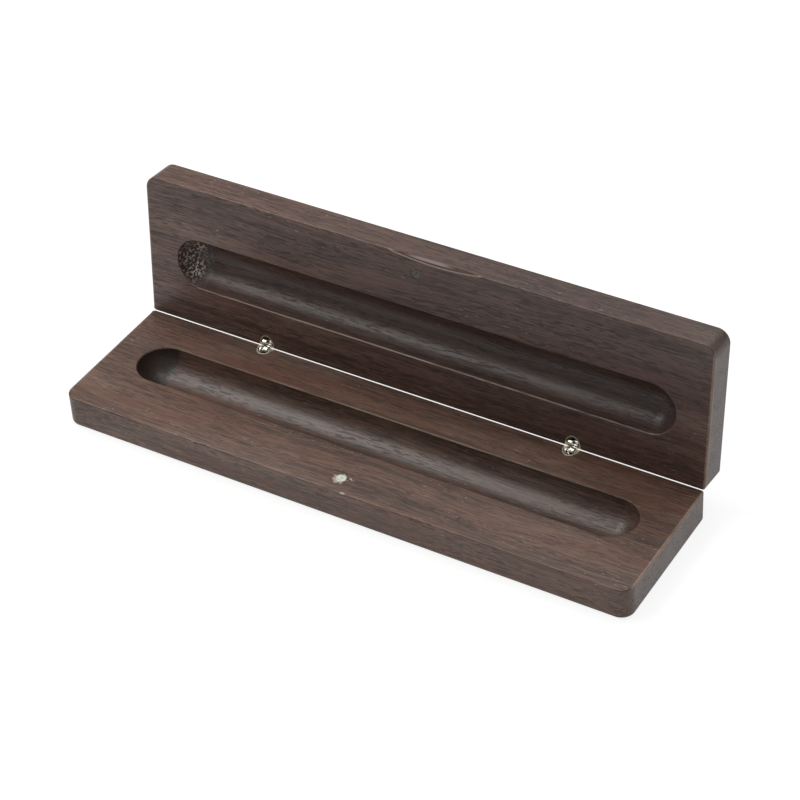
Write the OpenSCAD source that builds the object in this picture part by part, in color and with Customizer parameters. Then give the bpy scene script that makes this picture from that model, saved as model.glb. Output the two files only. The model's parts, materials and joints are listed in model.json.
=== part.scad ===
// Pen case of two routed walnut halves, joined by two concealed barrel hinges.
// The origin is the middle of the base's underside, the length runs along X,
// the hinge edge faces +Y and Z is up. The lid stands open on its stop.

/* [Case] */
// Length of each half, along the hinge edge
case_len = 180; // [170:1:240]
// Width of each half, from the hinge edge to the front
case_w = 45.5; // [42:0.5:60]
// Thickness of each half
half_t = 10; // [9.5:0.5:16]
// Angle that the lid opens to, where it meets its stop
open_angle = 95.5; // [90:0.5:100]
// Gap between the inner faces when the case is shut
face_gap = 0.05; // [0.05:0.05:0.3]

/* [Edges] */
// Radius of the two corners at the front
front_corner_r = 4; // [2:0.5:10]
// Radius of the two corners at the hinge edge
hinge_corner_r = 1; // [1:0.1:2]
// Radius eased on the outer arris of each half
outer_arris_r = 1; // [0.3:0.1:1]
// Radius eased on the inner arris at the front and the ends
inner_arris_r = 0.4; // [0.1:0.1:0.8]
// Radius eased on the inner arris along the hinge edge
hinge_arris_r = 0.1; // [0.05:0.05:0.4]
// Chamfer on the rim of the pen groove
rim_chamfer = 0.25; // [0.1:0.05:0.5]

/* [Pen groove] */
// Length of the groove over its round ends
groove_len = 160; // [140:1:164]
// Radius of the ball-nosed cutter that routs the groove
groove_r = 8; // [7.5:0.25:9]
// Depth of the groove
groove_depth = 7.5; // [5:0.25:7.5]
// Distance from the hinge edge to the middle of the groove
groove_set = 20.5; // [20:0.5:24]

/* [Thumb notch] */
// Length of the notch along the lid's front arris
notch_len = 31; // [16:1:50]
// Depth of the notch on the inner face
notch_depth = 1.4; // [0.6:0.05:2.5]
// Depth of the notch on the front face
notch_back = 0.8; // [0.4:0.05:1.5]
// Distance of the notch to the right of the middle
notch_x = 6; // [-40:1:40]

/* [Magnets] */
// Diameter of each disc magnet
magnet_d = 3; // [2:0.5:5]
// Thickness of each disc magnet
magnet_t = 2; // [1:0.5:3]
// Distance from the front edge to the middle of a magnet
magnet_set = 5.5; // [4:0.5:7]
// Depth of a magnet's face below the wood
magnet_sink = 0.1; // [0.05:0.05:0.3]
// Glue gap round a magnet and behind it
magnet_glue = 0.05; // [0.02:0.01:0.1]

/* [Hinges] */
// Distance between the middles of the two hinges
hinge_span = 100; // [60:1:150]
// Distance of the swing axis behind the hinge edge
hinge_set = 0.1; // [0.1:0.05:0.4]
// Diameter of a hinge barrel
barrel_d = 5; // [4.8:0.1:5.4]
// Length of a barrel below its mitred mouth
barrel_len = 7.5; // [6:0.1:7.8]
// Depth of the dish below a barrel's mouth
dish_depth = 1.2; // [0.8:0.1:2]
// Wall of the mitred rim round the dish
rim_wall = 0.3; // [0.2:0.05:0.35]
// Depth of the barrel's rim below the wood
rim_sink = 0.03; // [0.01:0.01:0.1]
// Number of grip grooves round a barrel
grip_count = 4; // [2:1:5]
// Depth of a grip groove
grip_depth = 0.2; // [0.1:0.05:0.3]
// Glue gap round a barrel and behind it
barrel_glue = 0.05; // [0.02:0.01:0.1]
// Distance between the two pivots of a link
link_len = 1.36; // [1.32:0.02:1.38]
// Thickness of a link
link_t = 1.1; // [0.9:0.05:1.1]
// Side clearance between links and knuckles
link_gap = 0.06; // [0.04:0.01:0.08]
// Diameter of the pin through a barrel's knuckles
pin_d = 0.7; // [0.6:0.05:0.75]
// Diameter of the rivet through the two links
rivet_d = 0.6; // [0.4:0.05:0.65]
// Diameter of the rivet's heads
rivet_head_d = 0.85; // [0.7:0.05:0.9]
// Radial clearance of a link on its pin or rivet
run_fit = 0.05; // [0.02:0.01:0.08]

/* [Hidden] */

wood = [0.36, 0.29, 0.26];
plated = [0.72, 0.69, 0.6];
steel = [0.75, 0.75, 0.74];
magnet_grey = [0.62, 0.63, 0.62];

$fn = 64;

// The swing axis lies behind the hinge edge, midway between the shut faces
axis_y = case_w / 2 + hinge_set;
axis_z = half_t + face_gap / 2;

// Each barrel points down from the axis, so that the two line up on the stop
barrel_tilt = 90 - open_angle / 2;
barrel_r = barrel_d / 2;
dish_r = barrel_r - rim_wall;

// The mouth is the lowest place of the rim, which is mitred just below both faces of the wood
mouth_under_face = (barrel_r * cos(barrel_tilt) + face_gap / 2 + rim_sink) / sin(barrel_tilt);
mouth_behind_edge = (barrel_r * sin(barrel_tilt) + hinge_set + rim_sink) / cos(barrel_tilt);
mouth = max(mouth_under_face, mouth_behind_edge);
barrel_end = mouth + barrel_len;
barrel_chamfer = 0.4;

// Knuckles of the two halves pass each other on either side of the shut faces
knuckle_pass = 0.07;
knuckle_r = link_len * sin(barrel_tilt) - knuckle_pass;
slot_half = link_t + 1.5 * link_gap;

// The knuckles are rounded to a ball about the swing axis, on a narrower neck
ball_gap = 0.1;
ball_r = dish_r - ball_gap;
neck_step = 0.35;
neck_r = ball_r - neck_step;

// Outside the rivet's heads, an ear runs from each knuckle almost to the swing axis
rivet_head_t = 0.2;
ear_from = link_t + 2 * link_gap + rivet_head_t;
ear_tip = knuckle_pass / sin(barrel_tilt);
ear_side = (link_len - ear_tip) * cos(barrel_tilt);

// A link's free end swings past the pin of the other link
pin_r = pin_d / 2;
link_pass = 0.32;
link_r = link_len - pin_r - link_pass;
pin_inset = 0.05;
pin_half = sqrt(pow(barrel_r, 2) - pow(pin_r, 2)) - pin_inset;
rivet_r = rivet_d / 2;

// The side of a link towards the inner faces is rounded out, as far as the dishes allow
leaf_r = 1.15;
leaf_out = 0.35;
leaf_along = 1;

groove_y = case_w / 2 - groove_set;
groove_z = half_t - groove_depth + groove_r;
groove_straight = groove_len - 2 * sqrt(pow(groove_r, 2) - pow(groove_r - groove_depth, 2));
magnet_y = magnet_set - case_w / 2;

// Half the groove's width at the lower edge of the chamfer on its rim
rim_half = sqrt(pow(groove_r, 2) - pow(groove_z - half_t + rim_chamfer, 2));

// Extra length that carries a cut clear of a face, or a piece into its neighbour
cut = 1;

// Carries a shape drawn for the base to the same place on the open lid
module on_lid() {
    translate([0, axis_y, axis_z])
        rotate([-open_angle, 0, 0])
            mirror([0, 0, 1])
                translate([0, -axis_y, -axis_z])
                    children();
}

// Stands a shape at one hinge of the base, with Z down the barrel from the swing axis
module at_hinge(side) {
    translate([side * hinge_span / 2, axis_y, axis_z])
        rotate([90 + barrel_tilt, 0, 0])
            children();
}

// Extrudes an outline drawn in the swing plane along X, between two planes
module across(x_from, x_to) {
    translate([x_from, 0, 0])
        rotate([90, 0, 90])
            linear_extrude(x_to - x_from)
                children();
}

// Section of a half near its edge, from within the block to the outer face at x = 0
module edge_section(depth, inner_r) {
    translate([-depth - cut, 0])
        square([depth + cut - outer_arris_r, half_t]);
    translate([-depth, outer_arris_r])
        square([depth, half_t - outer_arris_r - inner_r]);
    translate([-depth, outer_arris_r])
        square([depth - inner_r, half_t - outer_arris_r]);
    translate([-outer_arris_r, outer_arris_r])
        circle(outer_arris_r);
    translate([-inner_r, half_t - inner_r])
        circle(inner_r);
}

// Straight side of a half, turned about Z, between two places along it
module straight_side(turn, out, from, to, depth, inner_r) {
    rotate([0, 0, turn])
        translate([out, to, 0])
            rotate([90, 0, 0])
                linear_extrude(to - from)
                    edge_section(depth, inner_r);
}

// Rounded upright corner of a half, a quarter turn of the edge section
module corner(x, y, turn, radius, inner_r) {
    translate([x, y, 0])
        rotate([0, 0, turn])
            rotate_extrude(angle = 90)
                intersection() {
                    square([radius, half_t]);
                    translate([radius, 0])
                        edge_section(radius, inner_r);
                }
}

// Plain block of one half, with rounded corners and eased arrises
module block() {
    front_x = case_len / 2 - front_corner_r;
    front_y = -case_w / 2 + front_corner_r;
    rear_x = case_len / 2 - hinge_corner_r;
    rear_y = case_w / 2 - hinge_corner_r;
    translate([-front_x, front_y, 0])
        cube([2 * front_x, rear_y - front_y, half_t]);
    straight_side(0, case_len / 2, front_y, rear_y, front_corner_r, inner_arris_r);
    straight_side(90, case_w / 2, -rear_x, rear_x, hinge_corner_r, hinge_arris_r);
    straight_side(180, case_len / 2, -rear_y, -front_y, front_corner_r, inner_arris_r);
    straight_side(-90, case_w / 2, -front_x, front_x, front_corner_r, inner_arris_r);
    corner(front_x, front_y, -90, front_corner_r, inner_arris_r);
    corner(rear_x, rear_y, 0, hinge_corner_r, hinge_arris_r);
    corner(-rear_x, rear_y, 90, hinge_corner_r, hinge_arris_r);
    corner(-front_x, front_y, 180, front_corner_r, inner_arris_r);
}

// Path of the ball-nosed cutter, with its round ends
module groove_cut() {
    translate([-groove_straight / 2, groove_y, groove_z])
        rotate([0, 90, 0])
            cylinder(groove_straight, groove_r, groove_r);
    for (end = [-1, 1])
        translate([end * groove_straight / 2, groove_y, groove_z])
            sphere(groove_r);
}

// Section of the cutter that chamfers the groove's rim, out to its slope at 45 degrees
module rim_section() {
    low = half_t - 2 * rim_chamfer;
    polygon([
        [0, low],
        [rim_half - rim_chamfer, low],
        [rim_half + rim_chamfer + cut, half_t + cut],
        [0, half_t + cut]
    ]);
}

// Path of the chamfer cutter, along both sides of the groove and round its ends
module rim_cut() {
    translate([-groove_straight / 2, groove_y, 0])
        rotate([90, 0, 90])
            linear_extrude(groove_straight) {
                rim_section();
                mirror([1, 0])
                    rim_section();
            }
    for (end = [-1, 1])
        translate([end * groove_straight / 2, groove_y, 0])
            rotate_extrude()
                rim_section();
}

// Drilled pocket for a magnet
module magnet_pocket() {
    depth = magnet_sink + magnet_t + magnet_glue;
    pocket_r = magnet_d / 2 + magnet_glue;
    translate([0, magnet_y, half_t - depth])
        cylinder(depth + cut, pocket_r, pocket_r);
}

// Hole for a barrel, drilled into the hinge corner at the barrel's tilt
module barrel_hole(side) {
    at_hinge(side)
        translate([0, 0, -cut])
            cylinder(cut + barrel_end + barrel_glue, barrel_r + barrel_glue, barrel_r + barrel_glue);
}

// One half of the case, with its groove, magnet pocket and barrel holes
module half() {
    difference() {
        block();
        groove_cut();
        rim_cut();
        magnet_pocket();
        for (side = [-1, 1])
            barrel_hole(side);
    }
}

// Wide shallow scoop across the front arris, leaning towards the inner face
module notch_cut() {
    lean = atan(notch_back / notch_depth);
    dip = notch_back * cos(lean);
    scoop_r = (pow(notch_len / 2, 2) + pow(dip, 2)) / (2 * dip);
    reach = 4 * notch_depth;
    translate([notch_x, -case_w / 2, half_t])
        rotate([lean, 0, 0])
            translate([0, 0, scoop_r - dip])
                rotate([90, 0, 0])
                    cylinder(reach, scoop_r, scoop_r, center = true, $fn = 256);
}

module magnet() {
    translate([0, magnet_y, half_t - magnet_sink - magnet_t])
        cylinder(magnet_t, magnet_d / 2, magnet_d / 2);
}

// Turned body of a barrel, with its dish, chamfered end and grip grooves
module barrel_body() {
    pitch = (barrel_len - dish_depth) / (grip_count + 0.5);
    groove_w = pitch / 2;
    difference() {
        rotate_extrude()
            polygon([
                [0, mouth + dish_depth],
                [dish_r, mouth + dish_depth],
                [dish_r, 0],
                [barrel_r, 0],
                [barrel_r, barrel_end - barrel_chamfer],
                [barrel_r - barrel_chamfer, barrel_end],
                [0, barrel_end]
            ]);
        for (i = [0 : grip_count - 1])
            rotate_extrude()
                translate([barrel_r - grip_depth, mouth + dish_depth + i * pitch])
                    square([grip_depth + cut, groove_w]);
    }
}

// Side outline of a knuckle, round about its pin
module knuckle_outline() {
    translate([0, link_len])
        circle(knuckle_r);
    translate([-knuckle_r, link_len])
        square([2 * knuckle_r, mouth + dish_depth - link_len]);
}

// Side outline of an ear, from the round of a knuckle to a tip near the swing axis
module ear_outline() {
    half_w = ear_side * sin(barrel_tilt);
    polygon([
        [0, ear_tip],
        [half_w, ear_tip + ear_side * cos(barrel_tilt)],
        [0, link_len],
        [-half_w, ear_tip + ear_side * cos(barrel_tilt)]
    ]);
}

// Pair of knuckles that stand in the dish, with their ears
module knuckles() {
    neck_from = ball_r / 2;
    intersection() {
        union() {
            sphere(ball_r);
            translate([0, 0, neck_from])
                cylinder(mouth + dish_depth - neck_from, neck_r, neck_r);
        }
        union() {
            across(slot_half, ball_r)
                knuckle_outline();
            across(-ball_r, -slot_half)
                knuckle_outline();
            across(ear_from, ball_r)
                ear_outline();
            across(-ball_r, -ear_from)
                ear_outline();
        }
    }
}

module pivot(x_half, radius, along) {
    translate([-x_half, 0, along])
        rotate([0, 90, 0])
            cylinder(2 * x_half, radius, radius);
}

// Barrel with its rim mitred just below the inner face and the hinge edge
module barrel(side) {
    reach = barrel_end + barrel_r;
    rim_edge = [side * hinge_span / 2, case_w / 2 - rim_sink, half_t - rim_sink];
    difference() {
        union() {
            intersection() {
                at_hinge(side)
                    barrel_body();
                translate(rim_edge - [reach, reach, reach])
                    cube([2 * reach, reach, reach]);
            }
            at_hinge(side)
                knuckles();
        }
        at_hinge(side)
            pivot(barrel_r, pin_r, link_len);
    }
}

// Link beside the middle of the hinge, from the knuckle pin to the rivet
module link(side, layer, rivet_fit) {
    near = link_gap / 2;
    far = near + link_t;
    at_hinge(side)
        across(layer > 0 ? near : -far, layer > 0 ? far : -near)
            difference() {
                union() {
                    circle(link_r);
                    translate([0, link_len])
                        circle(link_r);
                    translate([-link_r, 0])
                        square([2 * link_r, link_len]);
                    translate([leaf_out, leaf_along])
                        circle(leaf_r);
                }
                circle(rivet_r + rivet_fit);
                translate([0, link_len])
                    circle(pin_r + run_fit);
            }
}

module knuckle_pin(side) {
    at_hinge(side)
        pivot(pin_half, pin_r, link_len);
}

// Rivet through both links, with a head outside each
module rivet(side) {
    links_half = link_gap / 2 + link_t;
    head_from = links_half + link_gap / 2;
    at_hinge(side) {
        pivot(head_from + rivet_head_t / 2, rivet_r, 0);
        for (turn = [0, 180])
            rotate([0, 0, turn])
                translate([head_from, 0, 0])
                    rotate([0, 90, 0])
                        cylinder(rivet_head_t, rivet_head_d / 2, rivet_head_d / 2);
    }
}

module base_half() {
    color(wood)
        half();
}

module lid_half() {
    color(wood)
        on_lid()
            difference() {
                half();
                notch_cut();
            }
}

module base_magnet() {
    color(magnet_grey)
        magnet();
}

module lid_magnet() {
    color(magnet_grey)
        on_lid()
            magnet();
}

module base_barrel(side) {
    color(plated)
        barrel(side);
}

module lid_barrel(side) {
    color(plated)
        on_lid()
            barrel(side);
}

module base_link(side) {
    color(steel)
        link(side, 1, 0);
}

module lid_link(side) {
    color(steel)
        on_lid()
            link(side, -1, run_fit);
}

module base_pin(side) {
    color(steel)
        knuckle_pin(side);
}

module lid_pin(side) {
    color(steel)
        on_lid()
            knuckle_pin(side);
}

module centre_rivet(side) {
    color(steel)
        rivet(side);
}

base_half();
lid_half();
base_magnet();
lid_magnet();
base_barrel(-1);  // left_base_barrel
lid_barrel(-1);  // left_lid_barrel
base_link(-1);  // left_base_link
lid_link(-1);  // left_lid_link
base_pin(-1);  // left_base_pin
lid_pin(-1);  // left_lid_pin
centre_rivet(-1);  // left_rivet
base_barrel(1);  // right_base_barrel
lid_barrel(1);  // right_lid_barrel
base_link(1);  // right_base_link
lid_link(1);  // right_lid_link
base_pin(1);  // right_base_pin
lid_pin(1);  // right_lid_pin
centre_rivet(1);  // right_rivet
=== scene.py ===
import json
from math import radians

import bpy
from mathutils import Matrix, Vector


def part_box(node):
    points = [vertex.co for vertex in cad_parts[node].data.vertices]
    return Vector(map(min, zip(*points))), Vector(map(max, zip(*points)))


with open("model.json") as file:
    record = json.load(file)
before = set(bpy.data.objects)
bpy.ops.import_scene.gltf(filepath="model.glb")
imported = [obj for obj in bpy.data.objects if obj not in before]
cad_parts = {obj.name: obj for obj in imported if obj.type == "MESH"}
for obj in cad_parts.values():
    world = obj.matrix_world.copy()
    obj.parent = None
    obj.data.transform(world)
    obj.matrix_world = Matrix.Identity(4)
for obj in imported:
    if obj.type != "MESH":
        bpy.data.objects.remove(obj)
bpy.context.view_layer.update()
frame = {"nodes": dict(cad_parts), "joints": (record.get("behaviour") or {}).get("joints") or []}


# ---------------------------------------------------------------- the base half
# One board of black walnut, planed to 10 mm, with the pen groove routed into its upper face and a
# magnet pocket and two hinge holes drilled. The arrises are eased by hand with fine paper, and the
# wood is oiled and buffed, which leaves the pores open and a low sheen.
MM = 1000.0  # millimetres in a metre

base_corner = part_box("base_half")[1]
half_length = MM * base_corner.x
half_width = MM * base_corner.y
board_thickness = MM * base_corner.z
groove_from_hinge_edge = 20.5
groove_middle = half_width - groove_from_hinge_edge
groove_rim = 8.09
groove_half_straight = 72.02
# Pale colour of the painted highlights along the arrises.
arris_highlight_colour = (0.42, 0.32, 0.25, 1)


def add(tree, kind, sockets=None, **settings):
    """Adds a node, sets it up, and sets or links its inputs."""
    node = tree.nodes.new(kind)
    for name, value in settings.items():
        setattr(node, name, value)
    for name, value in (sockets or {}).items():
        if isinstance(value, bpy.types.NodeSocket):
            tree.links.new(value, node.inputs[name])
        else:
            node.inputs[name].default_value = value
    return node


def calc(tree, operation, *values):
    """One step of arithmetic on numbers or outputs."""
    return add(tree, "ShaderNodeMath", dict(enumerate(values)), operation=operation).outputs[0]


def product(tree, *values):
    """Several numbers or outputs multiplied together."""
    total = values[0]
    for value in values[1:]:
        total = calc(tree, "MULTIPLY", total, value)
    return total


def vector_of(tree, operation, *values):
    """One step of arithmetic on vectors or outputs."""
    return add(tree, "ShaderNodeVectorMath", dict(enumerate(values)), operation=operation).outputs[0]


def length_of(tree, vector):
    """Length of a vector."""
    return add(tree, "ShaderNodeVectorMath", {0: vector}, operation="LENGTH").outputs["Value"]


def ramp_of(tree, value, low, high, to_low=0.0, to_high=1.0):
    """Smooth step of a value between two limits."""
    sockets = {"Value": value, "From Min": low, "From Max": high, "To Min": to_low, "To Max": to_high}
    return add(tree, "ShaderNodeMapRange", sockets, interpolation_type="SMOOTHSTEP").outputs[0]


def blend_of(tree, factor, first, second, how="MIX"):
    """Mixes two colours."""
    node = add(tree, "ShaderNodeMix", {0: factor, 6: first, 7: second}, data_type="RGBA", blend_type=how)
    return node.outputs[2]


def effect(name, inputs, outputs):
    """An empty shader node group with its named inputs and outputs."""
    group = bpy.data.node_groups.new(name, "ShaderNodeTree")
    for socket, (kind, default) in inputs.items():
        made = group.interface.new_socket(socket, in_out="INPUT", socket_type="NodeSocket" + kind)
        made.default_value = default
    for socket, kind in outputs.items():
        group.interface.new_socket(socket, in_out="OUTPUT", socket_type="NodeSocket" + kind)
    return group, group.nodes.new("NodeGroupInput").outputs, group.nodes.new("NodeGroupOutput").inputs


def use(tree, group, sockets):
    """Places a node group, sets or links its named inputs and returns its outputs."""
    return add(tree, "ShaderNodeGroup", sockets, node_tree=group).outputs


def bare_material(name):
    """A new material with an empty node tree."""
    material = bpy.data.materials.new(name)
    material.use_nodes = True
    material.node_tree.nodes.clear()
    return material, material.node_tree


def grain_noise(tree, board, along, across, shift, detail, rough=0.5):
    """Noise drawn out along the grain. along and across are the size of its features in mm."""
    stretched = vector_of(tree, "MULTIPLY", board, (1 / along, 1 / across, 1 / across))
    moved = vector_of(tree, "ADD", stretched, (shift, shift * 1.7, shift * 0.6))
    sockets = {"Vector": moved, "Scale": 1.0, "Detail": detail, "Roughness": rough}
    return add(tree, "ShaderNodeTexNoise", sockets).outputs["Fac"]


def walnut_grain_effect():
    """Figure, fibres, dark lines, open pores and pale flecks of a straight-grained walnut board."""
    group, given, wanted = effect(
        "Walnut grain",
        {
            "Board": ("Vector", (0, 0, 0)),
            "Dark wood": ("Color", (0.07, 0.04, 0.03, 1)),
            "Light wood": ("Color", (0.2, 0.13, 0.09, 1)),
            "Red wood": ("Color", (0.15, 0.07, 0.05, 1)),
            "Pore": ("Color", (0.02, 0.01, 0.008, 1)),
            "Fleck": ("Color", (0.42, 0.34, 0.28, 1)),
        },
        {"Colour": "Color", "Pores": "Float", "Height": "Float"},
    )
    sway = grain_noise(group, given["Board"], 70, 30, 4.1, 1)
    lean = product(group, calc(group, "SUBTRACT", sway, 0.5), 9.0)
    drift = add(group, "ShaderNodeCombineXYZ", {"Y": lean}).outputs[0]
    board = vector_of(group, "ADD", given["Board"], drift)

    figure = grain_noise(group, board, 150, 6, 1.3, 2)
    streaks = grain_noise(group, board, 40, 1.1, 7.9, 2, 0.6)
    fibres = grain_noise(group, board, 8, 0.42, 3.7, 3, 0.7)
    shade = calc(group, "ADD", product(group, figure, 0.25), product(group, streaks, 0.25))
    shade = calc(group, "ADD", shade, product(group, fibres, 0.5))
    wood = blend_of(group, ramp_of(group, shade, 0.4, 0.6), given["Dark wood"], given["Light wood"])
    redness = ramp_of(group, grain_noise(group, board, 60, 5, 11.3, 2), 0.5, 0.7, 0.0, 0.6)
    wood = blend_of(group, redness, wood, given["Red wood"])
    lines = ramp_of(group, grain_noise(group, board, 70, 0.7, 14.2, 1), 0.6, 0.7)
    wood = blend_of(group, product(group, lines, 0.3), wood, given["Pore"])

    patches = ramp_of(group, grain_noise(group, board, 40, 4, 5.5, 1), 0.35, 0.6, 0.35, 1.0)
    long_pores = ramp_of(group, grain_noise(group, board, 6, 0.5, 9.1, 1), 0.58, 0.66)
    short_pores = ramp_of(group, grain_noise(group, board, 2.8, 0.42, 17.3, 0), 0.6, 0.67)
    pores = product(group, calc(group, "MAXIMUM", long_pores, short_pores), patches)
    wood = blend_of(group, product(group, pores, 0.62), wood, given["Pore"])
    threads = ramp_of(group, grain_noise(group, board, 7, 0.4, 33.1, 1), 0.56, 0.66, 0.0, 0.5)
    wood = blend_of(group, threads, wood, given["Light wood"])

    scatter = ramp_of(group, grain_noise(group, board, 22, 5, 2.2, 1), 0.45, 0.66, 0.15, 1.0)
    glints = ramp_of(group, grain_noise(group, board, 1.5, 0.3, 6.6, 0), 0.77, 0.83)
    flecks = product(group, glints, scatter)
    wood = blend_of(group, product(group, flecks, 0.6), wood, given["Fleck"])
    dry = ramp_of(group, grain_noise(group, board, 45, 14, 21.7, 1), 0.5, 0.72, 0.0, 0.14)
    wood = blend_of(group, product(group, dry, fibres), wood, given["Fleck"])

    furrows = grain_noise(group, board, 30, 0.35, 25.9, 2, 0.6)
    height = calc(group, "SUBTRACT", furrows, product(group, pores, 0.6))
    group.links.new(wood, wanted["Colour"])
    group.links.new(pores, wanted["Pores"])
    group.links.new(height, wanted["Height"])
    return group


def painted_arris_highlight_effect():
    """Broken pale line along an arris: a painted highlight. Distance and width in mm."""
    group, given, wanted = effect(
        "Painted arris highlight",
        {"Board": ("Vector", (0, 0, 0)), "Distance": ("Float", 10.0), "Width": ("Float", 0.5)},
        {"Painted highlight": "Float"},
    )
    share = calc(group, "DIVIDE", given["Distance"], given["Width"])
    near = ramp_of(group, share, 0.35, 1.0, 1.0, 0.0)
    patches = ramp_of(group, grain_noise(group, given["Board"], 9, 9, 8.3, 3), 0.3, 0.62, 0.35, 1.0)
    group.links.new(product(group, near, patches), wanted["Painted highlight"])
    return group


def inside_groove_effect():
    """Where a spot lies: how far from the groove's rim, and inside the groove or its ball ends or not."""
    group, given, wanted = effect(
        "Inside the groove",
        {"Board": ("Vector", (0, 0, 0))},
        {
            "From rim": "Float",
            "Groove": "Float",
            "Near the end": "Float",
            "Ball end": "Float",
            "Hinge side": "Float",
        },
    )
    part = add(group, "ShaderNodeSeparateXYZ", {0: given["Board"]}).outputs
    along = calc(group, "SUBTRACT", calc(group, "ABSOLUTE", part["X"]), groove_half_straight)
    aside = calc(group, "SUBTRACT", part["Y"], groove_middle)
    past_end = calc(group, "MAXIMUM", along, 0.0)
    flat = add(group, "ShaderNodeCombineXYZ", {"X": past_end, "Y": aside}).outputs[0]
    reach = length_of(group, flat)
    below = calc(group, "SUBTRACT", board_thickness, part["Z"])
    from_rim = calc(group, "ABSOLUTE", calc(group, "SUBTRACT", reach, groove_rim))
    within = ramp_of(group, reach, groove_rim, groove_rim + 0.2, 1, 0)
    off_outer_face = ramp_of(group, part["Z"], 1.0, 2.0)
    groove = product(group, ramp_of(group, below, 0.2, 0.4), within, off_outer_face)
    group.links.new(calc(group, "MAXIMUM", from_rim, below), wanted["From rim"])
    group.links.new(groove, wanted["Groove"])
    group.links.new(ramp_of(group, along, -50.0, -5.0), wanted["Near the end"])
    group.links.new(product(group, groove, ramp_of(group, along, -0.6, 0.8)), wanted["Ball end"])
    group.links.new(ramp_of(group, aside, 0.0, 5.0), wanted["Hinge side"])
    return group


def painted_board_shade_effect():
    """Painted light and shade along and across a board, and painted shade deeper in its groove."""
    group, given, wanted = effect(
        "Painted board shade",
        {
            "Board": ("Vector", (0, 0, 0)),
            "Groove": ("Float", 0.0),
            "Left": ("Float", 1.0),
            "Right": ("Float", 1.0),
            "Front": ("Float", 1.0),
            "Hinge edge": ("Float", 1.0),
        },
        {"Shade": "Color"},
    )
    part = add(group, "ShaderNodeSeparateXYZ", {0: given["Board"]}).outputs
    edge_band = half_width / 2
    painted_shade = product(
        group,
        ramp_of(group, part["X"], -half_length, half_length / 3, given["Left"], given["Right"]),
        ramp_of(group, part["Y"], -edge_band, edge_band, given["Front"], given["Hinge edge"]),
        ramp_of(group, given["Groove"], 0.0, 1.0, 1.0, 0.72),
    )
    shade = add(group, "ShaderNodeCombineXYZ", {"X": painted_shade, "Y": painted_shade, "Z": painted_shade}).outputs[0]
    group.links.new(shade, wanted["Shade"])
    return group


def torn_ball_end_effect():
    """Torn end grain in the left ball end, where the cutter plunged in, with pale specks on its wall."""
    group, given, wanted = effect(
        "Torn ball end",
        {
            "Board": ("Vector", (0, 0, 0)),
            "Ball end": ("Float", 0.0),
            "Wood": ("Color", (0.1, 0.05, 0.04, 1)),
            "Ball end wood": ("Color", (0.05, 0.03, 0.03, 1)),
            "Speck": ("Color", (0.9, 0.8, 0.7, 1)),
        },
        {"Colour": "Color"},
    )
    board = given["Board"]
    part = add(group, "ShaderNodeSeparateXYZ", {0: board}).outputs
    past_straight = calc(group, "SUBTRACT", -groove_half_straight, part["X"])
    specks = ramp_of(group, grain_noise(group, board, 0.6, 0.6, 12.4, 1, 0.6), 0.5, 0.62)
    clusters = ramp_of(group, grain_noise(group, board, 3, 3, 7.4, 1), 0.35, 0.6, 0.45, 1)
    # The pale specks show only on the far wall, where the light falls: painted light on real specks.
    lit_far_wall = ramp_of(group, past_straight, 1.0, 5.0, 0.1, 1)
    specks = product(group, specks, clusters, lit_far_wall)
    end_wood = blend_of(group, specks, given["Ball end wood"], given["Speck"])
    at_left = ramp_of(group, part["X"], -1, 1, 1, 0)
    torn = product(group, given["Ball end"], at_left, 0.85)
    group.links.new(blend_of(group, torn, given["Wood"], end_wood), wanted["Colour"])
    return group


def painted_half_highlights_effect(painted_arris_highlight):
    """Painted highlights on the arrises of one half: at its two ends, and on the groove's rim on the
    hinge side.
    """
    group, given, wanted = effect(
        "Painted half highlights",
        {
            "Board": ("Vector", (0, 0, 0)),
            "From rim": ("Float", 10.0),
            "Hinge side": ("Float", 0.0),
            "Near the end": ("Float", 0.0),
        },
        {"Painted highlight": "Float"},
    )
    board = given["Board"]
    part = add(group, "ShaderNodeSeparateXYZ", {0: board}).outputs
    from_end = calc(group, "SUBTRACT", half_length, calc(group, "ABSOLUTE", part["X"]))
    from_inner = calc(group, "ABSOLUTE", calc(group, "SUBTRACT", board_thickness, part["Z"]))
    from_face = calc(group, "MINIMUM", from_inner, calc(group, "ABSOLUTE", part["Z"]))
    from_arris = calc(group, "MAXIMUM", from_end, from_face)
    ends = use(group, painted_arris_highlight, {"Board": board, "Distance": from_arris, "Width": 0.9})
    rim = use(group, painted_arris_highlight, {"Board": board, "Distance": given["From rim"], "Width": 0.35})
    on_rim = product(group, rim["Painted highlight"], given["Hinge side"])
    on_rim = product(group, on_rim, ramp_of(group, given["Near the end"], 0, 1, 0.6, 0.1))
    group.links.new(calc(group, "MAXIMUM", ends["Painted highlight"], on_rim), wanted["Painted highlight"])
    return group


def end_grain_effect():
    """Darker wood where a face turns across the grain, at the two ends of a half."""
    group, given, wanted = effect(
        "End grain",
        {
            "Facing": ("Vector", (0, 0, 1)),
            "Wood": ("Color", (0.1, 0.05, 0.04, 1)),
            "End wood": ("Color", (0.06, 0.04, 0.033, 1)),
        },
        {"Colour": "Color"},
    )
    along = add(group, "ShaderNodeSeparateXYZ", {0: given["Facing"]}).outputs["X"]
    across_grain = ramp_of(group, calc(group, "ABSOLUTE", along), 0.3, 0.9)
    colour = blend_of(group, product(group, across_grain, 0.35), given["Wood"], given["End wood"])
    group.links.new(colour, wanted["Colour"])
    return group


walnut_grain = walnut_grain_effect()
inside_groove = inside_groove_effect()
painted_board_shade = painted_board_shade_effect()
torn_ball_end = torn_ball_end_effect()
painted_half_highlights = painted_half_highlights_effect(painted_arris_highlight_effect())
end_grain = end_grain_effect()


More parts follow.
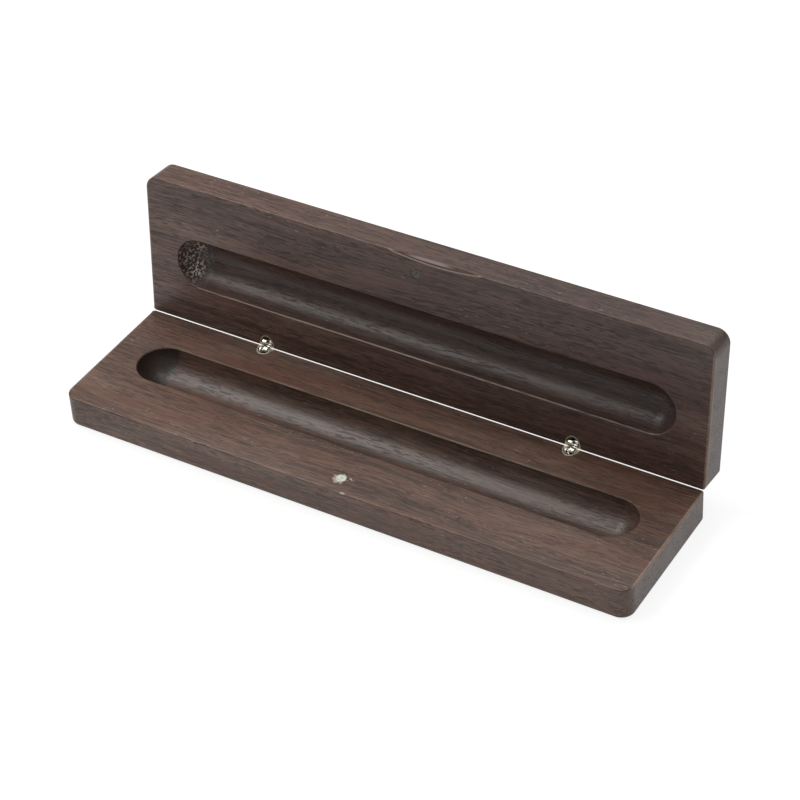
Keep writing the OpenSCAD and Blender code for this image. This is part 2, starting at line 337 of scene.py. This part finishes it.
def walnut(name, lay, marks_and_painted_shading, log_shift, woods, painted_shades, ball_end_wood, speck):
    """Oiled walnut of one board.

    lay turns a spot on the half into one on the board, and marks_and_painted_shading adds what only this
    half has, painted light and shade among it. woods are its dark, light and red wood, and painted_shades
    the painted light and shade at the left, right, front and hinge edge.
    """
    material, tree = bare_material(name)
    place = add(tree, "ShaderNodeTexCoord").outputs
    board = lay(tree, vector_of(tree, "MULTIPLY", place["Object"], (MM, MM, MM)))
    dark_wood, light_wood, red_wood = woods
    grain = use(
        tree,
        walnut_grain,
        {
            "Board": vector_of(tree, "ADD", board, log_shift),
            "Dark wood": dark_wood,
            "Light wood": light_wood,
            "Red wood": red_wood,
        },
    )
    groove = use(tree, inside_groove, {"Board": board})

    # Painted light and shade: lighter or darker towards the ends and edges, and darker in the groove.
    left, right, front, hinge_edge = painted_shades
    painted_shade = use(
        tree,
        painted_board_shade,
        {
            "Board": board,
            "Groove": groove["Groove"],
            "Left": left,
            "Right": right,
            "Front": front,
            "Hinge edge": hinge_edge,
        },
    )
    wood = blend_of(tree, 1.0, grain["Colour"], painted_shade["Shade"], "MULTIPLY")
    torn = {"Ball end": groove["Ball end"], "Ball end wood": ball_end_wood, "Speck": speck}
    wood = use(tree, torn_ball_end, {"Board": board, "Wood": wood, **torn})["Colour"]
    wood = use(tree, end_grain, {"Facing": place["Normal"], "Wood": wood})["Colour"]
    arrises = {name: groove[name] for name in ("From rim", "Hinge side", "Near the end")}
    painted_highlight = use(tree, painted_half_highlights, {"Board": board, **arrises})["Painted highlight"]
    # Painted highlights along the arrises.
    wood = blend_of(tree, product(tree, painted_highlight, 0.42), wood, arris_highlight_colour)
    wood = marks_and_painted_shading(tree, board, wood)

    rough = ramp_of(tree, grain["Pores"], 0.0, 1.0, 0.4, 0.55)
    relief = {"Height": grain["Height"], "Strength": 0.5, "Distance": 0.00004}
    bump = add(tree, "ShaderNodeBump", relief).outputs[0]
    skin = {"Base Color": wood, "Roughness": rough, "Normal": bump}
    oiled = add(tree, "ShaderNodeBsdfPrincipled", skin).outputs[0]
    add(tree, "ShaderNodeOutputMaterial", {"Surface": oiled})
    return material


def finish_with(nodes, material):
    """Gives the CAD pieces of these names one finish."""
    for name in nodes:
        piece = frame["nodes"][name]
        piece.data.materials.clear()
        piece.data.materials.append(material)


def as_it_lies(tree, spot):
    """The base lies as its board does."""
    return spot


def ragged_patch(tree, from_middle, ragged, inner, outer):
    """Patch with a ragged edge, whose reach from its middle ends between two distances in mm."""
    edge = calc(tree, "ADD", length_of(tree, from_middle), ragged)
    return ramp_of(tree, edge, inner, outer, 1, 0)


def chipped_and_shaded_pocket(tree, board, wood):
    """The magnet's pocket, with a painted shadow behind the magnet and splinters broken out round it."""
    low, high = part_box("base_magnet")
    middle = (MM * (low.x + high.x) / 2, MM * (low.y + high.y) / 2, board_thickness)
    radius = MM * (high.x - low.x) / 2
    splinter = (0.42, 0.34, 0.3, 1)
    shadow = (0.015, 0.01, 0.008, 1)
    breakout_shift = (0.2, 0.35, 0)
    painted_shadow_shift = (0.1, 0.45, 0)
    chip_places = ((2.9, 0.6, 0), (3.3, -5.3, 0))
    chip_stretch = (0.7, 1.6, 1.6)

    spot = vector_of(tree, "SUBTRACT", board, middle)
    painted_shadow = ragged_patch(tree, vector_of(tree, "SUBTRACT", spot, painted_shadow_shift), 0.0, radius, radius + 0.3)
    wood = blend_of(tree, product(tree, painted_shadow, 0.8), wood, shadow)
    ragged = calc(tree, "SUBTRACT", grain_noise(tree, board, 0.9, 0.5, 30.2, 1), 0.5)
    ragged = product(tree, ragged, 2.4)
    forward = vector_of(tree, "ADD", spot, breakout_shift)
    broken = ragged_patch(tree, forward, ragged, radius + 0.25, radius + 0.45)
    for place in chip_places:
        from_chip = vector_of(tree, "SUBTRACT", spot, place)
        drawn_out = vector_of(tree, "MULTIPLY", from_chip, chip_stretch)
        broken = calc(tree, "MAXIMUM", broken, ragged_patch(tree, drawn_out, ragged, 0.3, 0.7))
    return blend_of(tree, product(tree, broken, 0.75), wood, splinter)


base_walnut = walnut(
    "Base walnut",
    as_it_lies,
    chipped_and_shaded_pocket,
    log_shift=(0, 0, 0),
    woods=((0.04, 0.018, 0.011, 1), (0.15, 0.08, 0.053, 1), (0.115, 0.043, 0.026, 1)),
    # Painted light and shade at the left, right, front and hinge edge.
    painted_shades=(0.95, 0.86, 1.0, 0.92),
    # The base's left ball end is near black: painted shade over its darker torn end grain.
    ball_end_wood=(0.018, 0.013, 0.011, 1),
    speck=(0.035, 0.026, 0.022, 1),
)
finish_with(["base_half"], base_walnut)


# ---------------------------------------------------------------- the lid half
# A second board of the same walnut, routed and drilled as the base is, with a shallow thumb notch cut
# into its front arris. It is hung on the two barrel hinges and leans back on its stop.
hinge = next(joint for joint in frame["joints"] if joint["name"] == "lid_hinge")
axis_mm = [MM * value for value in hinge["pos_m"]]
open_angle = radians(hinge["range_deg"][1])
notch_middle = 6.0
notch_half_length = 15.5
notch_depth = 1.4
notch_height = 1.2
notch_light_middle = 4.2


def laid_flat(tree, spot):
    """A spot on the lid in mm, turned back and mirrored to where it would lie on the base."""
    turn = {"Vector": spot, "Center": axis_mm, "Angle": open_angle}
    turned = add(tree, "ShaderNodeVectorRotate", turn, rotation_type="X_AXIS").outputs[0]
    mirrored = vector_of(tree, "MULTIPLY", turned, (1, 1, -1))
    return vector_of(tree, "ADD", mirrored, (0, 0, 2 * axis_mm[2]))


def painted_notch_shading(tree, board, wood):
    """The thumb notch: painted light above, painted shade below, and a painted highlight along its edge.
    """
    # Colours of the painted light, painted shade and painted edge highlight in the notch.
    notch_lit_wood = (0.34, 0.27, 0.25, 1)
    dark_wood = (0.025, 0.017, 0.014, 1)
    notch_edge_highlight = (0.36, 0.28, 0.24, 1)
    part = add(tree, "ShaderNodeSeparateXYZ", {0: board}).outputs
    from_front = calc(tree, "ADD", part["Y"], half_width)
    below = calc(tree, "SUBTRACT", board_thickness, part["Z"])
    off_middle = calc(tree, "SUBTRACT", part["X"], notch_middle)
    off_middle = calc(tree, "DIVIDE", off_middle, notch_half_length)
    bow = calc(tree, "SUBTRACT", 1.0, product(tree, off_middle, off_middle))
    width = product(tree, bow, notch_depth)
    across = calc(tree, "DIVIDE", from_front, calc(tree, "MAXIMUM", width, 0.05))
    off_arrises = ramp_of(tree, calc(tree, "MINIMUM", from_front, below), 0.02, 0.06)
    wide = ramp_of(tree, width, 0.1, 0.3)
    near_front = ramp_of(tree, from_front, notch_depth + 0.1, notch_depth + 0.3, 1, 0)
    near_face = ramp_of(tree, below, notch_height - 0.3, notch_height, 1, 0)
    in_notch = product(tree, off_arrises, near_front, wide, near_face)

    from_light_middle = calc(tree, "ABSOLUTE", calc(tree, "SUBTRACT", part["X"], notch_light_middle))
    upper = ramp_of(tree, across, 0.5, 0.65, 1, 0)
    lower = ramp_of(tree, across, 0.5, 0.65)
    # Painted light on the notch's upper part, fading away from its middle; painted shade on its lower
    # part.
    pale = product(tree, in_notch, upper, ramp_of(tree, from_light_middle, 3, 9, 0.7, 0))
    dark = product(tree, in_notch, lower, 0.5)
    from_edge = calc(tree, "ABSOLUTE", calc(tree, "SUBTRACT", from_front, width))
    near_edge = ramp_of(tree, from_edge, 0.12, 0.3, 1, 0)
    edge = product(tree, near_edge, ramp_of(tree, below, 0.3, 0.5, 1, 0), wide, 0.55)
    wood = blend_of(tree, pale, wood, notch_lit_wood)
    wood = blend_of(tree, dark, wood, dark_wood)
    return blend_of(tree, edge, wood, notch_edge_highlight)


lid_walnut = walnut(
    "Lid walnut",
    laid_flat,
    painted_notch_shading,
    log_shift=(310, 47, 90),
    woods=((0.038, 0.019, 0.015, 1), (0.14, 0.077, 0.058, 1), (0.108, 0.045, 0.034, 1)),
    # Painted light and shade: lighter at the left, where the light falls, darker at the right.
    painted_shades=(1.1, 0.72, 0.9, 1.0),
    ball_end_wood=(0.07, 0.049, 0.044, 1),
    speck=(0.95, 0.84, 0.76, 1),
)
finish_with(["lid_half"], lid_walnut)


# ---------------------------------------------------------------- the magnets
# A nickel-plated disc magnet is glued into each half near the front edge, just below the wood. The
# plating is dull and scuffed where the two discs have met.
def worn_shaded_metal_effect():
    """Metal with patchy tarnish, and painted shade that darkens it the deeper it lies in its hole."""
    group, given, wanted = effect(
        "Worn metal with painted shade",
        {
            "Spot": ("Vector", (0, 0, 0)),
            "Clean": ("Color", (0.7, 0.7, 0.7, 1)),
            "Tarnished": ("Color", (0.4, 0.4, 0.4, 1)),
            "Depth shade": ("Color", (0.05, 0.045, 0.03, 1)),
            "Patch size": ("Float", 1.0),
            "Depth shading": ("Float", 0.0),
            "Mouth": ("Float", 0.1),
            "Deep": ("Float", 1.4),
            "Smoothest": ("Float", 0.3),
        },
        {"Colour": "Color", "Roughness": "Float", "Height": "Float"},
    )
    closeness = calc(group, "DIVIDE", 1.0, given["Patch size"])
    finer = add(group, "ShaderNodeVectorMath", {0: given["Spot"], "Scale": closeness}, operation="SCALE")
    patches = grain_noise(group, finer.outputs[0], 1, 1, 3.3, 4, 0.6)
    colour = blend_of(group, ramp_of(group, patches, 0.45, 0.7), given["Clean"], given["Tarnished"])
    part = add(group, "ShaderNodeSeparateXYZ", {0: given["Spot"]}).outputs
    below_base = calc(group, "SUBTRACT", axis_mm[2], part["Z"])
    behind_lid = calc(group, "SUBTRACT", part["Y"], axis_mm[1])
    depth = calc(group, "MAXIMUM", below_base, behind_lid)
    depth_shade = product(group, ramp_of(group, depth, given["Mouth"], given["Deep"]), given["Depth shading"])
    dullest = calc(group, "ADD", given["Smoothest"], 0.15)
    group.links.new(blend_of(group, depth_shade, colour, given["Depth shade"]), wanted["Colour"])
    roughness = ramp_of(group, patches, 0.3, 0.7, given["Smoothest"], dullest)
    group.links.new(roughness, wanted["Roughness"])
    group.links.new(patches, wanted["Height"])
    return group


worn_shaded_metal = worn_shaded_metal_effect()


def metal(name, clean, tarnished, smoothest, patch_mm, relief_m, depth_shading):
    """Plated or polished metal, worn, and darkened by painted shade the deeper it lies in its hole."""
    material, tree = bare_material(name)
    place = add(tree, "ShaderNodeTexCoord").outputs["Object"]
    wear = use(
        tree,
        worn_shaded_metal,
        {
            "Spot": vector_of(tree, "MULTIPLY", place, (MM, MM, MM)),
            "Clean": clean,
            "Tarnished": tarnished,
            "Patch size": patch_mm,
            "Depth shading": depth_shading,
            "Smoothest": smoothest,
        },
    )
    relief = {"Height": wear["Height"], "Strength": 0.3, "Distance": relief_m}
    bump = add(tree, "ShaderNodeBump", relief).outputs[0]
    skin = {"Base Color": wear["Colour"], "Roughness": wear["Roughness"], "Normal": bump, "Metallic": 1.0}
    plated = add(tree, "ShaderNodeBsdfPrincipled", skin).outputs[0]
    add(tree, "ShaderNodeOutputMaterial", {"Surface": plated})
    return material


clean_nickel = (0.56, 0.62, 0.53, 1)
scuffed_nickel = (0.3, 0.25, 0.23, 1)
base_nickel = metal("Base magnet nickel", clean_nickel, scuffed_nickel, 0.35, 1.1, 0.00003, 0.0)
finish_with(["base_magnet"], base_nickel)
# The lid's disc is coloured far darker than the base's, though both have the same nickel plating.
dark_lid_nickel = (0.14, 0.138, 0.122, 1)
darker_lid_nickel = (0.05, 0.046, 0.041, 1)
lid_nickel = metal("Lid magnet nickel", dark_lid_nickel, darker_lid_nickel, 0.45, 0.5, 0.00003, 0.0)
finish_with(["lid_magnet"], lid_nickel)


# ---------------------------------------------------------------- the hinge barrels
# Turned brass with a thin pale nickel plating, pressed and glued into the holes. The brass shows
# through on the rim.
barrels = [f"{side}_{half}_barrel" for side in ("left", "right") for half in ("base", "lid")]
pale_plating = (0.74, 0.69, 0.57, 1)
bare_brass = (0.5, 0.45, 0.29, 1)
# The barrels darken deep in their holes: painted shade.
plated_brass = metal("Plated brass", pale_plating, bare_brass, 0.42, 2.0, 0.000002, 0.9)
finish_with(barrels, plated_brass)


# ---------------------------------------------------------------- the links, pins and rivets
# The links are steel stampings with rounded ends and the pins are steel wire, all polished. Each pin is
# pressed through the two knuckles of its barrel, and each rivet is headed over on both sides.
steel_pieces = [
    f"{side}_{piece}"
    for side in ("left", "right")
    for piece in ("base_link", "lid_link", "base_pin", "lid_pin", "rivet")
]
bright_steel = (0.72, 0.68, 0.58, 1)
waxy_steel = (0.42, 0.4, 0.32, 1)
# The links and pins darken deep in the holes: painted shade.
polished_steel = metal("Polished steel", bright_steel, waxy_steel, 0.25, 2.0, 0.000002, 0.8)
finish_with(steel_pieces, polished_steel)


# ---------------------------------------------------------------- the floor
# A white table far wider than the view, with only a faint shadow left under the case. It lies a hair
# below the case's underside, so that the two faces never coincide.
def seen_directly(tree, *other_rays):
    """1 for the camera's rays and for the other rays named, and 0 for all the rest."""
    path = add(tree, "ShaderNodeLightPath").outputs
    seen = path["Is Camera Ray"]
    for ray in other_rays:
        seen = calc(tree, "MAXIMUM", seen, path[ray])
    return seen


def white_table():
    """White that glows a little to the eye, less near the case, where the shadow is kept."""
    material, tree = bare_material("White floor")
    spot = add(tree, "ShaderNodeTexCoord").outputs["Object"]
    level = ramp_of(tree, length_of(tree, spot), 0.3, 0.9, 0.84, 1.0)
    plain = add(tree, "ShaderNodeBsdfDiffuse", {"Color": (0.85, 0.85, 0.85, 1)}).outputs[0]
    faint = add(tree, "ShaderNodeBsdfDiffuse", {"Color": (0.2, 0.2, 0.2, 1)}).outputs[0]
    glow = add(tree, "ShaderNodeEmission", {"Color": (1, 1, 1, 1), "Strength": level}).outputs[0]
    bright = add(tree, "ShaderNodeAddShader", {0: faint, 1: glow}).outputs[0]
    seen = seen_directly(tree, "Is Glossy Ray", "Is Transmission Ray")
    both = add(tree, "ShaderNodeMixShader", {0: seen, 1: plain, 2: bright}).outputs[0]
    add(tree, "ShaderNodeOutputMaterial", {"Surface": both})
    return material


table_width = 6.0
table_top = -0.00002
bpy.ops.mesh.primitive_plane_add(size=table_width, location=(0, 0, table_top))
floor = bpy.context.object
floor.name = "floor"
floor.data.materials.append(white_table())


# ---------------------------------------------------------------- the light
# An even white room. One large soft box hangs above and behind the case, and a smaller one above its
# left end, which draws the sheen along the floors of the grooves.
def white_room(level):
    """Room that lights the case at a plain level and is pure white to the camera."""
    room = bpy.data.worlds.new("White room")
    bpy.context.scene.world = room
    room.use_nodes = True
    tree = room.node_tree
    tree.nodes.clear()
    seen = seen_directly(tree, "Is Transmission Ray")
    strength = calc(tree, "ADD", calc(tree, "MULTIPLY", seen, 1.0 - level), level)
    walls = add(tree, "ShaderNodeBackground", {"Color": (1, 1, 1, 1), "Strength": strength}).outputs[0]
    add(tree, "ShaderNodeOutputWorld", {"Surface": walls})


def soft_box(name, wide, deep, energy, colour, place, tilt):
    """Soft box of a width and depth in metres, hung at a place and tilted towards the case."""
    lamp = bpy.data.lights.new(name, "AREA")
    lamp.shape = "RECTANGLE"
    lamp.size = wide
    lamp.size_y = deep
    lamp.energy = energy
    lamp.color = colour
    hung = bpy.data.objects.new(name, lamp)
    hung.location = place
    hung.rotation_euler = [radians(angle) for angle in tilt]
    bpy.context.scene.collection.objects.link(hung)


white_room(0.3)
soft_box("Soft box behind", 1.2, 1.2, 11.0, (1, 1, 1), (0, 0.6, 1.2), (-26.6, 0, 0))
soft_box("Soft box at the left", 0.5, 0.9, 8.9, (1, 0.97, 0.94), (-0.6, -0.15, 1.0), (7.3, -30.9, 0))


# ---------------------------------------------------------------- the camera
# A long lens looks down on the open case from the front and a little to the right, far enough away to
# keep its long edges nearly parallel.
lens = bpy.data.cameras.new("Camera")
lens.sensor_width = 36.0
lens.lens = 116.24
lens.clip_start = 0.01
camera = bpy.data.objects.new("Camera", lens)
camera.location = (0.30499, -0.45811, 0.46654)
camera.rotation_euler = (radians(51.147), radians(2.853), radians(30.520))
bpy.context.scene.collection.objects.link(camera)
bpy.context.scene.camera = camera
bpy.context.scene.view_settings.view_transform = "Standard"
